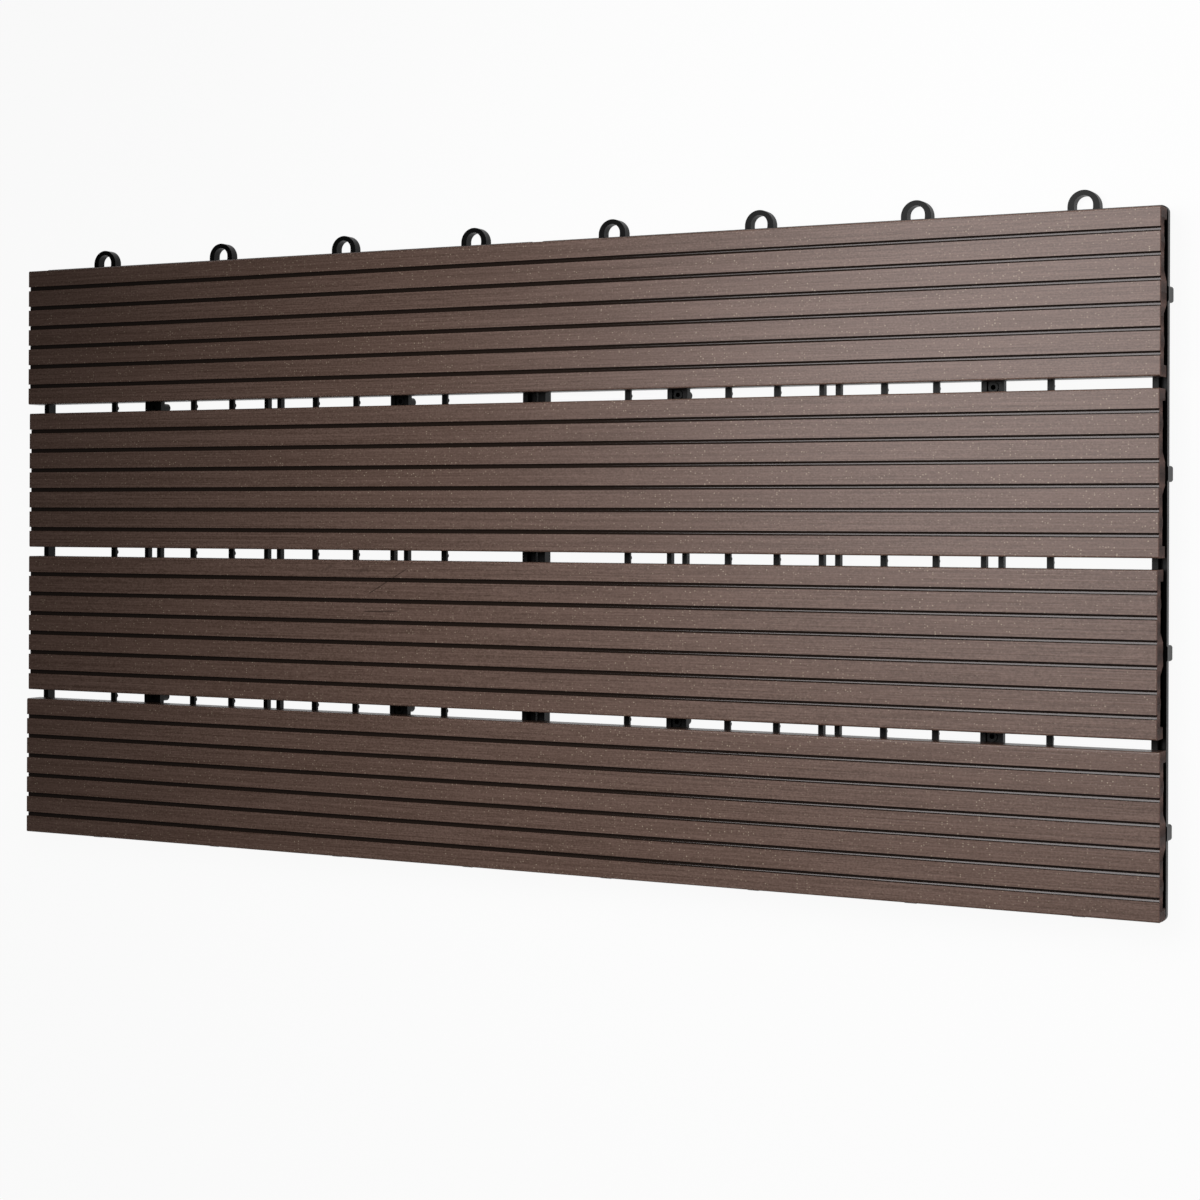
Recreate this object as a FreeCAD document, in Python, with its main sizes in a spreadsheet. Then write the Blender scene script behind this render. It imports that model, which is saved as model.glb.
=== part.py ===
import FreeCAD, Part
import os
import Sketcher

# Interlocking deck tile, 600 x 300 mm: four grooved composite slats screwed from below onto two
# moulded grid bases. The tile lies as it is laid on a terrace: feet on Z = 0, walking face up,
# X along the slats, Y across them, origin under the middle of the tile.

doc = FreeCAD.newDocument("deck_tile")
sizes = doc.addObject("Spreadsheet::Sheet", "sizes")

# Driving dimensions in millimetres, each with its name and what it means.
DIMENSIONS = [
    ("module_pitch", 300.0, "distance from one base to the next, also from tile to tile"),
    ("module_gap", 1.0, "joint left between two neighbouring base frames"),
    ("slat_thickness", 10.4, "slat, walking face to the soles of its two edge legs"),
    ("slat_gap", 4.8, "gap between two slats"),
    ("slat_inset", 1.0, "nominal slat end, back from the edge of the laying cell"),
    ("slat_shift", 0.6, "slats as screwed on, towards the peg end"),
    ("slat_edge_radius", 0.8, "rounding of the two long upper edges"),
    ("groove_width", 2.1, "groove between two strips"),
    ("groove_depth", 1.3, "groove, below the walking face"),
    ("groove_count", 6, "grooves in one slat"),
    ("edge_strip", 8.4, "strip between a long edge and the first groove"),
    ("leg_width", 4.9, "solid leg along each long edge of a slat"),
    ("web_thickness", 6.0, "slat between the legs"),
    ("bead_width", 5.4, "small bead under the second strip from each edge"),
    ("bead_reach", 1.1, "bead, below the web"),
    ("keel_width", 9.6, "flat sole of the screw keel under the middle strip"),
    ("keel_root", 18.0, "keel where it leaves the web"),
    ("left_cut_first", -0.5, "saw tolerance at the left end, slat by slat from the loop side"),
    ("left_cut_second", 0.4, "saw tolerance, left end"),
    ("left_cut_third", 0.2, "saw tolerance, left end"),
    ("left_cut_fourth", -0.8, "saw tolerance, left end"),
    ("right_cut_first", 0.1, "saw tolerance at the right end"),
    ("right_cut_second", -0.3, "saw tolerance, right end"),
    ("right_cut_third", -0.9, "saw tolerance, right end"),
    ("right_cut_fourth", 0.4, "saw tolerance, right end"),
    ("rail_width", 2.6, "bearing rail under the slats"),
    ("rail_depth", 5.4, "bearing rail, top to underside"),
    ("rail_lift", 1.0, "underside of the rail, above the foot of the skirt"),
    ("rail_corner", 1.0, "corner radius of the rail"),
    ("gutter_width", 1.4, "gutter between rail and skirt"),
    ("gutter_floor", 1.4, "thickness of the gutter floor"),
    ("skirt_width", 1.6, "outer skirt wall"),
    ("skirt_drop", 3.0, "skirt top, below the rail top"),
    ("frame_corner", 3.0, "outer corner radius of the skirt"),
    ("loop_height", 4.7, "loop, ground to upper face"),
    ("loop_cover", 0.5, "clearance from a loop to the skirt that passes over it"),
    ("loop_hole_radius", 4.1, "hole of a loop"),
    ("loop_play", 1.0, "how much longer than wide the hole is"),
    ("loop_band", 2.9, "wall of a loop beside its hole"),
    ("loop_crown", 2.3, "wall of a loop at its outermost point"),
    ("loop_reach", 1.0, "centre of a seated peg, beyond the edge of the laying cell"),
    ("peg_play", 0.7, "radial clearance of a peg in a loop"),
    ("peg_proud", 0.4, "flat side of a peg, proud of the skirt"),
    ("peg_lift", 0.6, "peg end, above the ground"),
    ("peg_chamfer", 0.8, "lead-in at the end of a peg"),
    ("twin_spread", 7.8, "centre distance of the two ribs of a twin"),
    ("twin_width", 2.4, "one rib of a twin"),
    ("twin_depth", 3.1, "twin rib, top to underside"),
    ("thin_width", 2.9, "single rib"),
    ("thin_depth", 1.5, "single rib, top to underside"),
    ("thin_offset", 25.5, "twin rib line to the single ribs beside it"),
    ("nub_radius", 1.3, "ejector nub under a single rib"),
    ("nub_depth", 1.0, "ejector nub, below the rib"),
    ("eye_floor", 1.6, "plate that closes a twin crossing"),
    ("eye_radius", 2.2, "hollow foot under that plate, its ring seen from above"),
    ("eye_ring", 0.9, "ring, above the plate"),
    ("eye_hole_radius", 1.1, "blind hole down the hollow foot"),
    ("eye_sole", 1.6, "sole of the hollow foot"),
    ("boss_radius", 5.3, "screw boss between the ribs of a twin"),
    ("boss_wall", 5.2, "plastic between the screw head and the slat"),
    ("recess_play", 0.3, "radial clearance round the screw head"),
    ("shank_play", 0.25, "radial clearance of the shank in its boss"),
    ("foot_radius", 3.5, "plain foot between the ribs of the middle twin"),
    ("foot_bite", 0.9, "how far a plain foot reaches into the twin ribs"),
    ("stud_side", 3.2, "small square foot under the frame"),
    ("screw_shank", 2.0, "screw, radius over its thread"),
    ("screw_head", 3.5, "screw head, radius"),
    ("screw_head_height", 2.3, "screw head, height"),
    ("screw_dome", 2.5, "flat middle of the rounded screw head, radius"),
    ("screw_rim", 1.0, "straight rim of the screw head, height"),
    ("screw_length", 12.0, "screw, under its head"),
    ("screw_point", 2.4, "screw, length of its point"),
    ("screw_pilot_end", 0.6, "free length of the pilot hole beyond the point"),
]
for row, (alias, value, meaning) in enumerate(DIMENSIONS, start=1):
    sizes.set(f"A{row}", alias)
    sizes.set(f"B{row}", str(value))
    sizes.set(f"C{row}", meaning)
    sizes.setAlias(f"B{row}", alias)
doc.recompute()

# The least volume, in cubic millimetres, that a cut has to remove.
LEAST_CUT = 1.0

# Derived sizes, written once as expressions on the sheet.
NIL = "0 * sizes.module_pitch"
PITCH = "(sizes.module_pitch / 4)"
SLAT_WIDTH = f"({PITCH} - sizes.slat_gap)"
SLAT_LENGTH = "(2 * sizes.module_pitch - 2 * sizes.slat_inset)"
GROOVE_SPAN = f"({SLAT_WIDTH} - 2 * sizes.edge_strip - sizes.groove_width)"
GROOVE_PITCH = f"({GROOVE_SPAN} / (sizes.groove_count - 1))"
SKIRT_OUTER = "(sizes.module_pitch / 2 - sizes.module_gap / 2)"
SKIRT_INNER = f"({SKIRT_OUTER} - sizes.skirt_width)"
SKIRT_FOOT = "(sizes.loop_height + sizes.loop_cover)"
RAIL_OUTER = f"({SKIRT_INNER} - sizes.gutter_width)"
RAIL_INNER = f"({RAIL_OUTER} - sizes.rail_width)"
RAIL_FOOT = f"({SKIRT_FOOT} + sizes.rail_lift)"
BASE_TOP = f"({RAIL_FOOT} + sizes.rail_depth)"
SKIRT_TOP = f"({BASE_TOP} - sizes.skirt_drop)"
LOOP_NEAR = "(sizes.module_pitch / 2 + sizes.loop_reach)"
LOOP_FAR = f"({LOOP_NEAR} + sizes.loop_play)"
LOOP_RADIUS = "(sizes.loop_hole_radius + sizes.loop_band)"
LOOP_TIP = f"({LOOP_FAR} + sizes.loop_hole_radius + sizes.loop_crown)"
LOOP_CENTRE = f"({LOOP_TIP} - {LOOP_RADIUS})"
PEG_CENTRE = "(sizes.module_pitch / 2 - sizes.loop_reach)"
PEG_RADIUS = "(sizes.loop_hole_radius - sizes.peg_play)"
PEG_FACE = f"({SKIRT_OUTER} + sizes.peg_proud)"
PEG_FLAT = f"({PEG_FACE} - {PEG_CENTRE})"
PEG_SHOULDER = "(sizes.peg_lift + sizes.peg_chamfer)"
TWIN_HALF = "(sizes.twin_spread / 2)"
TWIN_FOOT = f"({BASE_TOP} - sizes.twin_depth)"
THIN_FOOT = f"({BASE_TOP} - sizes.thin_depth)"
RIB_HALF = f"({RAIL_INNER} + sizes.rail_width / 2)"
HEAD_SEAT = f"({BASE_TOP} - sizes.boss_wall)"
SCREW_TIP = f"({HEAD_SEAT} + sizes.screw_length)"


def number(expression):
    """The present value of an expression on the sheet."""
    value = sizes.evalExpression(expression.replace("sizes.", ""))
    return float(getattr(value, "Value", value))


def new_sketch(body, name, plane, offset=None):
    """A sketch on one of the body's own origin planes, raised along its normal by an expression."""
    sketch = body.newObject("Sketcher::SketchObject", name)
    origin_plane = [f for f in body.Origin.OriginFeatures if f.Role == plane][0]
    sketch.AttachmentSupport = [(origin_plane, "")]
    sketch.MapMode = "FlatFace"
    if offset is not None:
        sketch.setExpression("AttachmentOffset.Base.z", offset)
    return sketch


def pin_point(sketch, geometry, vertex, across, up):
    """Ties one vertex to the sketch origin by two dimensions bound to the sheet."""
    for kind, expression in (("DistanceX", across), ("DistanceY", up)):
        constraint = Sketcher.Constraint(kind, -1, 1, geometry, vertex, number(expression))
        index = sketch.addConstraint(constraint)
        sketch.setExpression(f"Constraints[{index}]", expression)


def outline(sketch, corners):
    """A closed outline. Each corner is (across, up) and starts a straight line, or
    (across, up, radius, bulge) and starts an arc; bulge +1 turns left, -1 turns right."""
    points = [FreeCAD.Vector(number(c[0]), number(c[1]), 0) for c in corners]
    count = len(corners)
    pieces = []
    for index, corner in enumerate(corners):
        start = points[index]
        end = points[(index + 1) % count]
        if len(corner) == 2:
            pieces.append(sketch.addGeometry(Part.LineSegment(start, end), False))
            continue
        radius = number(corner[2])
        chord = end - start
        sagitta = radius - max(radius ** 2 - (chord.Length / 2) ** 2, 0) ** 0.5
        side = FreeCAD.Vector(chord.y, -chord.x, 0)
        side.normalize()
        middle = (start + end) * 0.5 + side * (sagitta * corner[3])
        pieces.append(sketch.addGeometry(Part.Arc(start, middle, end), False))
        index_radius = sketch.addConstraint(Sketcher.Constraint("Radius", pieces[-1], radius))
        sketch.setExpression(f"Constraints[{index_radius}]", corner[2])
    ends = []
    for index, piece in enumerate(pieces):
        wanted = points[index]
        start_vertex = 1 if (sketch.getPoint(piece, 1) - wanted).Length < 1e-6 else 2
        ends.append((start_vertex, 3 - start_vertex))
    for index, piece in enumerate(pieces):
        following = (index + 1) % count
        sketch.addConstraint(Sketcher.Constraint(
            "Coincident", piece, ends[index][1], pieces[following], ends[following][0]))
        pin_point(sketch, piece, ends[index][0], corners[index][0], corners[index][1])


def rectangle(sketch, left, right, low, high):
    outline(sketch, [(left, low), (right, low), (right, high), (left, high)])


def rounded_square(sketch, half, radius):
    """A square about the origin with rounded corners."""
    inner = f"({half} - {radius})"
    outline(sketch, [
        (f"-{inner}", f"-{half}"), (inner, f"-{half}", radius, 1),
        (half, f"-{inner}"), (half, inner, radius, 1),
        (inner, half), (f"-{inner}", half, radius, 1),
        (f"-{half}", inner), (f"-{half}", f"-{inner}", radius, 1)])


def circle(sketch, across, up, radius):
    centre = FreeCAD.Vector(number(across), number(up), 0)
    piece = sketch.addGeometry(Part.Circle(centre, FreeCAD.Vector(0, 0, 1), number(radius)), False)
    index = sketch.addConstraint(Sketcher.Constraint("Radius", piece, number(radius)))
    sketch.setExpression(f"Constraints[{index}]", radius)
    pin_point(sketch, piece, 3, across, up)


def pad(body, sketch, name, length):
    feature = body.newObject("PartDesign::Pad", name)
    feature.Profile = sketch
    feature.Refine = False
    feature.setExpression("Length", length)
    return feature


def pocket(body, sketch, name, length, upward):
    feature = body.newObject("PartDesign::Pocket", name)
    feature.Profile = sketch
    feature.Refine = False
    feature.setExpression("Length", length)
    feature.Reversed = upward
    return feature


def row_of(body, feature, name, axis, length, count):
    """The feature repeated evenly along one of the body's own axes."""
    pattern = body.newObject("PartDesign::LinearPattern", name)
    pattern.Originals = [feature]
    origin_axis = [f for f in body.Origin.OriginFeatures if f.Role == axis][0]
    pattern.Direction = (origin_axis, [""])
    pattern.Refine = False
    pattern.setExpression("Length", length)
    pattern.setExpression("Occurrences", count)
    body.Tip = pattern
    return pattern


def check_less(body, before, what):
    """A cut that removes nothing points the wrong way."""
    doc.recompute()
    if not body.Shape.Volume < before - LEAST_CUT:
        raise RuntimeError(f"{what} removed nothing from {body.Label}")


# Places across the tile. Slats, loops and pegs share four lines, twin ribs lie between them.
SLAT_LINES = [f"{quarter} * {PITCH}" for quarter in ("-1.5", "-0.5", "0.5", "1.5")]
TWIN_SIDES = [f"-1 * {PITCH}", f"1 * {PITCH}"]
TWIN_LINES = [TWIN_SIDES[0], NIL, TWIN_SIDES[1]]
THIN_LINES = [f"{sign} * {place}"
              for place in ("sizes.thin_offset", f"({PITCH} - sizes.thin_offset)",
                            f"({PITCH} + sizes.thin_offset)")
              for sign in ("-1", "1")]
BASE_CENTRES = ["-0.5 * sizes.module_pitch", "0.5 * sizes.module_pitch"]


def build_slat(name, line, left_cut, right_cut):
    """One extruded slat: edge legs, web with two beads, screw keel, grooves and pilot holes."""
    body = doc.addObject("PartDesign::Body", name)
    body.Label = name
    half = f"({SLAT_WIDTH} / 2)"
    top = "sizes.slat_thickness"
    shoulder = "(sizes.slat_thickness - sizes.slat_edge_radius)"
    web = "(sizes.slat_thickness - sizes.web_thickness)"
    leg = f"({half} - sizes.leg_width)"
    bead_middle = f"(2 * {GROOVE_PITCH})"
    bead_out = f"({bead_middle} + sizes.bead_width / 2)"
    bead_in = f"({bead_middle} - sizes.bead_width / 2)"
    bead_radius = "(sizes.bead_width ^ 2 / 4 + sizes.bead_reach ^ 2) / (2 * sizes.bead_reach)"
    root = "(sizes.keel_root / 2)"
    keel = "(sizes.keel_width / 2)"
    round_edge = "sizes.slat_edge_radius"
    flat = f"({half} - sizes.slat_edge_radius)"

    section = new_sketch(body, name + "_section", "YZ_Plane",
                         f"sizes.slat_shift - {SLAT_LENGTH} / 2 + sizes.{left_cut}")
    outline(section, [
        (half, NIL), (half, shoulder, round_edge, 1),
        (flat, top), (f"-{flat}", top, round_edge, 1),
        (f"-{half}", shoulder), (f"-{half}", NIL),
        (f"-{leg}", NIL), (f"-{leg}", web),
        (f"-{bead_out}", web, bead_radius, 1), (f"-{bead_in}", web),
        (f"-{root}", web), (f"-{keel}", NIL),
        (keel, NIL), (root, web),
        (bead_in, web, bead_radius, 1), (bead_out, web),
        (leg, web), (leg, NIL)])
    length = f"{SLAT_LENGTH} - sizes.{left_cut} + sizes.{right_cut}"
    pad(body, section, name + "_extrusion", length)
    doc.recompute()

    solid = body.Shape.Volume
    groove_sketch = new_sketch(body, name + "_groove_outline", "YZ_Plane",
                               f"-{SLAT_LENGTH}")
    first = f"(-{GROOVE_SPAN} / 2)"
    rectangle(groove_sketch, f"{first} - sizes.groove_width / 2", f"{first} + sizes.groove_width / 2",
              f"{top} - sizes.groove_depth", f"{top} + sizes.groove_depth")
    groove = pocket(body, groove_sketch, name + "_groove", f"2 * {SLAT_LENGTH}", True)
    check_less(body, solid, "the groove")
    row_of(body, groove, name + "_grooves", "Y_Axis", GROOVE_SPAN, "sizes.groove_count")
    doc.recompute()

    solid = body.Shape.Volume
    pilots = new_sketch(body, name + "_pilot_outline", "XY_Plane")
    for centre in BASE_CENTRES:
        for side in TWIN_SIDES:
            circle(pilots, f"{centre} + {side}", NIL, "sizes.screw_shank")
    pocket(body, pilots, name + "_pilots",
           f"{SCREW_TIP} - {BASE_TOP} + sizes.screw_pilot_end", True)
    check_less(body, solid, "the pilot holes")
    body.setExpression("Placement.Base.y", line)
    body.setExpression("Placement.Base.z", BASE_TOP)
    return body


def bound(feature, **expressions):
    """Binds sizes of a primitive to the sheet; x, y and z are its place."""
    for name, expression in expressions.items():
        target = f"Placement.Base.{name}" if name in ("x", "y", "z") else name
        feature.setExpression(target, expression)
    return feature


def block(name, left, right, front, back, low, high):
    """A straight bar or plate between three pairs of planes."""
    return bound(doc.addObject("Part::Box", name), x=left, y=front, z=low,
                 Length=f"{right} - ({left})", Width=f"{back} - ({front})", Height=f"{high} - ({low})")


def rod(name, across, up, low, high, radius):
    """An upright round boss, foot or hole."""
    return bound(doc.addObject("Part::Cylinder", name), x=across, y=up, z=low,
                 Radius=radius, Height=f"{high} - ({low})")


def slab(name, low, high, draw):
    """What the function draw puts on a level sketch, raised from low to high."""
    sketch = doc.addObject("Sketcher::SketchObject", name + "_outline")
    sketch.setExpression("Placement.Base.z", low)
    draw(sketch)
    raised = doc.addObject("Part::Extrusion", name)
    raised.Base = sketch
    raised.DirMode = "Normal"
    raised.Solid = True
    raised.setExpression("LengthFwd", f"{high} - ({low})")
    return raised


def fused(name, shapes):
    whole = doc.addObject("Part::MultiFuse", name)
    whole.Shapes = shapes
    whole.Refine = True
    return whole


def cut(name, solid, tool):
    rest = doc.addObject("Part::Cut", name)
    rest.Base = solid
    rest.Tool = tool
    rest.Refine = True
    return rest


def make_frame():
    """Bearing rail, gutter and outer skirt, three square rings one inside the other."""
    def ring(name, outer, outer_radius, inner, inner_radius, low, high):
        def draw(sketch):
            rounded_square(sketch, outer, outer_radius)
            rounded_square(sketch, inner, inner_radius)
        return slab(name, low, high, draw)

    inside = "(sizes.frame_corner - sizes.skirt_width)"
    return [
        ring("skirt", SKIRT_OUTER, "sizes.frame_corner", SKIRT_INNER, inside, SKIRT_FOOT, SKIRT_TOP),
        ring("gutter", SKIRT_INNER, inside, RAIL_INNER, "sizes.rail_corner",
             RAIL_FOOT, f"{RAIL_FOOT} + sizes.gutter_floor"),
        ring("rail", RAIL_OUTER, "sizes.rail_corner", RAIL_INNER, "sizes.rail_corner",
             RAIL_FOOT, BASE_TOP)]


def make_ribs():
    """Twin ribs both ways on a square grid, single ribs across and under the middle of each slat."""
    ribs = []
    for line in TWIN_LINES:
        for side in ("-", "+"):
            near = f"{line} {side} {TWIN_HALF} - sizes.twin_width / 2"
            far = f"{line} {side} {TWIN_HALF} + sizes.twin_width / 2"
            ribs.append(block("twin_across", near, far, f"-{RIB_HALF}", RIB_HALF,
                              TWIN_FOOT, BASE_TOP))
            ribs.append(block("twin_along", f"-{RIB_HALF}", RIB_HALF, near, far,
                              TWIN_FOOT, BASE_TOP))
    for place in THIN_LINES:
        ribs.append(block("thin_across", f"{place} - sizes.thin_width / 2",
                          f"{place} + sizes.thin_width / 2", f"-{RIB_HALF}", RIB_HALF,
                          THIN_FOOT, BASE_TOP))
        for line in TWIN_LINES:
            ribs.append(rod("nub", place, line, f"{THIN_FOOT} - sizes.nub_depth",
                            f"{THIN_FOOT} + sizes.thin_depth / 2", "sizes.nub_radius"))
    for line in SLAT_LINES:
        ribs.append(block("keel_rib", f"-{RIB_HALF}", RIB_HALF, f"{line} - sizes.thin_width / 2",
                          f"{line} + sizes.thin_width / 2", THIN_FOOT, BASE_TOP))
    return ribs


def make_eyes():
    """Plates that close the four outer twin crossings, each on a hollow foot with a raised ring."""
    eyes = []
    for across in TWIN_SIDES:
        for up in TWIN_SIDES:
            eyes.append(block("eye_plate", f"{across} - {TWIN_HALF}", f"{across} + {TWIN_HALF}",
                              f"{up} - {TWIN_HALF}", f"{up} + {TWIN_HALF}",
                              TWIN_FOOT, f"{TWIN_FOOT} + sizes.eye_floor"))
            eyes.append(rod("eye", across, up, "0",
                            f"{TWIN_FOOT} + sizes.eye_floor + sizes.eye_ring", "sizes.eye_radius"))
    return eyes


def make_feet():
    """Screw bosses and plain feet under the slats, small studs under the frame."""
    feet = []
    for line in SLAT_LINES:
        feet.append(rod("foot", "0", line, "0", f"{TWIN_FOOT} + sizes.foot_bite",
                        "sizes.foot_radius"))
        for side in TWIN_SIDES:
            feet.append(rod("boss", side, line, "0", BASE_TOP, "sizes.boss_radius"))
    middle = f"(({SKIRT_INNER} + {RAIL_INNER}) / 2)"
    between = f"(0.75 * {PITCH})"
    places = [(f"{sign}{middle}", other) for sign in ("-", "")
              for other in (f"-{middle}", f"-{between}", between, middle)]
    places += [(other, f"{sign}{middle}") for sign in ("-", "") for other in (f"-{between}", between)]
    for across, up in places:
        feet.append(block("stud", f"{across} - sizes.stud_side / 2", f"{across} + sizes.stud_side / 2",
                          f"{up} - sizes.stud_side / 2", f"{up} + sizes.stud_side / 2",
                          "0", f"{RAIL_FOOT} + sizes.gutter_floor / 2"))
    return feet


def facing(side, across, out):
    """A place given along one side of the base and outwards from the base centre."""
    return {"back": (across, out), "left": (f"-({out})", across),
            "front": (f"-({across})", f"-({out})"), "right": (out, f"-({across})")}[side]


def side_slab(name, side, low, high, outlines):
    """A plate on one side of the base, its outlines given along that side and outwards."""
    def draw(sketch):
        for corners in outlines:
            outline(sketch, [facing(side, *corner[:2]) + tuple(corner[2:]) for corner in corners])
    return slab(name, low, high, draw)


def make_loops():
    """Loops on the back and left sides, each hung from the rail by a riser."""
    loops = []
    radius = "sizes.loop_hole_radius"
    for side in ("back", "left"):
        for line in SLAT_LINES:
            low, high = f"({line} - {LOOP_RADIUS})", f"({line} + {LOOP_RADIUS})"
            band = [(low, RAIL_INNER), (high, RAIL_INNER), (high, LOOP_CENTRE, LOOP_RADIUS, 1),
                    (line, LOOP_TIP, LOOP_RADIUS, 1), (low, LOOP_CENTRE)]
            riser = [(low, RAIL_INNER), (high, RAIL_INNER), (high, RAIL_OUTER), (low, RAIL_OUTER)]
            low, high = f"({line} - {radius})", f"({line} + {radius})"
            hole = [(high, LOOP_NEAR), (high, LOOP_FAR, radius, 1),
                    (line, f"({LOOP_FAR} + {radius})", radius, 1), (low, LOOP_FAR),
                    (low, LOOP_NEAR, radius, 1), (line, f"({LOOP_NEAR} - {radius})", radius, 1)]
            loops.append(side_slab("loop", side, "0", "sizes.loop_height", [band, hole]))
            loops.append(side_slab("riser", side, "0", f"{RAIL_FOOT} + sizes.gutter_floor / 2",
                                   [riser]))
    return loops


def make_pegs():
    """Pegs on the front and right sides: round towards the base, flat with round corners outside,
    and a lead-in at the end."""
    forms = []
    turned = []
    flat = f"({PEG_RADIUS} - {PEG_FLAT})"
    for side in ("front", "right"):
        for line in SLAT_LINES:
            low, high = f"({line} - {PEG_RADIUS})", f"({line} + {PEG_RADIUS})"
            corners = [(f"({line} + {flat})", PEG_FACE), (f"({line} - {flat})", PEG_FACE, PEG_FLAT, 1),
                       (low, PEG_CENTRE, PEG_RADIUS, 1),
                       (line, f"({PEG_CENTRE} - {PEG_RADIUS})", PEG_RADIUS, 1),
                       (high, PEG_CENTRE, PEG_FLAT, 1)]
            forms.append(side_slab("peg_form", side, "sizes.peg_lift", SKIRT_TOP, [corners]))
            across, up = facing(side, line, PEG_CENTRE)
            turned.append(rod("peg", across, up, PEG_SHOULDER, SKIRT_TOP, PEG_RADIUS))
            turned.append(bound(doc.addObject("Part::Cone", "peg_lead"), x=across, y=up,
                                z="sizes.peg_lift", Radius1=f"{PEG_RADIUS} - sizes.peg_chamfer",
                                Radius2=PEG_RADIUS, Height="sizes.peg_chamfer"))
    pegs = doc.addObject("Part::Common", "pegs")
    pegs.Base = fused("peg_forms", forms)
    pegs.Tool = fused("turned_pegs", turned)
    return pegs


def make_holes():
    """Screw clearance with head recess in every boss, and the blind hole of every hollow foot."""
    holes = []
    for side in TWIN_SIDES:
        for line in SLAT_LINES:
            holes.append(rod("shank_hole", side, line, "0", f"2 * {BASE_TOP}",
                             "sizes.screw_shank + sizes.shank_play"))
            holes.append(rod("head_recess", side, line, f"-1 * {HEAD_SEAT}", HEAD_SEAT,
                             "sizes.screw_head + sizes.recess_play"))
        for other in TWIN_SIDES:
            holes.append(rod("blind_hole", side, other, "sizes.eye_sole", f"2 * {BASE_TOP}",
                             "sizes.eye_hole_radius"))
    return holes


def build_base_form():
    """One moulded base about its own centre, all in one piece."""
    solid = fused("base_solid", make_frame() + make_ribs() + make_eyes() + make_feet() + make_loops()
                  + [make_pegs()])
    holes = doc.addObject("Part::Compound", "base_holes")
    holes.Links = make_holes()
    form = cut("base_form", solid, holes)
    doc.recompute()
    if not form.Shape.Volume < solid.Shape.Volume - LEAST_CUT:
        raise RuntimeError("the holes removed nothing from the base")
    return form


def build_base(name, form, centre):
    """The same moulding set at its own place along the tile."""
    base = doc.addObject("Part::Feature", name)
    base.Shape = form.Shape.copy()
    base.Label = name
    base.setExpression("Placement.Base.x", centre)
    return base


def build_screw():
    """One pan-head screw, head down, seen as a turned blank over its thread."""
    body = doc.addObject("PartDesign::Body", "screw_blank")
    sketch = new_sketch(body, "screw_profile", "XZ_Plane")
    outline(sketch, [
        (NIL, "-sizes.screw_head_height"), ("sizes.screw_dome", "-sizes.screw_head_height"),
        ("sizes.screw_head", "-sizes.screw_rim"), ("sizes.screw_head", NIL),
        ("sizes.screw_shank", NIL), ("sizes.screw_shank", "sizes.screw_length - sizes.screw_point"),
        (NIL, "sizes.screw_length")])
    turn = body.newObject("PartDesign::Revolution", "screw_turning")
    turn.Profile = sketch
    turn.ReferenceAxis = (sketch, ["V_Axis"])
    turn.Angle = 360
    doc.recompute()
    return body


def build_screws():
    """All screws of the tile, one solid each, seated in their bosses."""
    blank = build_screw().Shape
    placed = []
    for centre in BASE_CENTRES:
        for side in TWIN_SIDES:
            for line in SLAT_LINES:
                screw = blank.copy()
                screw.translate(FreeCAD.Vector(
                    number(f"{centre} + {side}"), number(line), number(HEAD_SEAT)))
                placed.append(screw)
    screws = doc.addObject("Part::Feature", "screws")
    screws.Shape = Part.makeCompound(placed)
    screws.Label = "screws"
    return screws


ORDINALS = ["fourth", "third", "second", "first"]
pieces = []
for ordinal, line in zip(ORDINALS, SLAT_LINES):
    pieces.append(build_slat(f"slat_{ordinal}", line,
                             f"left_cut_{ordinal}", f"right_cut_{ordinal}"))
base_form = build_base_form()
for side, centre in zip(("left", "right"), BASE_CENTRES):
    pieces.append(build_base(f"base_{side}", base_form, centre))
pieces.append(build_screws())
doc.recompute()

for item in doc.Objects:
    if "Invalid" in item.State or "Error" in item.State:
        raise RuntimeError(f"{item.Name} failed: {item.State}")
os.makedirs("parts", exist_ok=True)
for piece in pieces:
    if piece.Shape.isNull() or not piece.Shape.isValid():
        raise RuntimeError(f"{piece.Label} has no valid shape")
    piece.Shape.exportStep(f"parts/{piece.Label}.step")
    box = piece.Shape.BoundBox
    print(piece.Label, len(piece.Shape.Solids), "solids", round(piece.Shape.Volume / 1000, 2), "cm3",
          [round(v, 2) for v in (box.XMin, box.YMin, box.ZMin, box.XMax, box.YMax, box.ZMax)])
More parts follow.
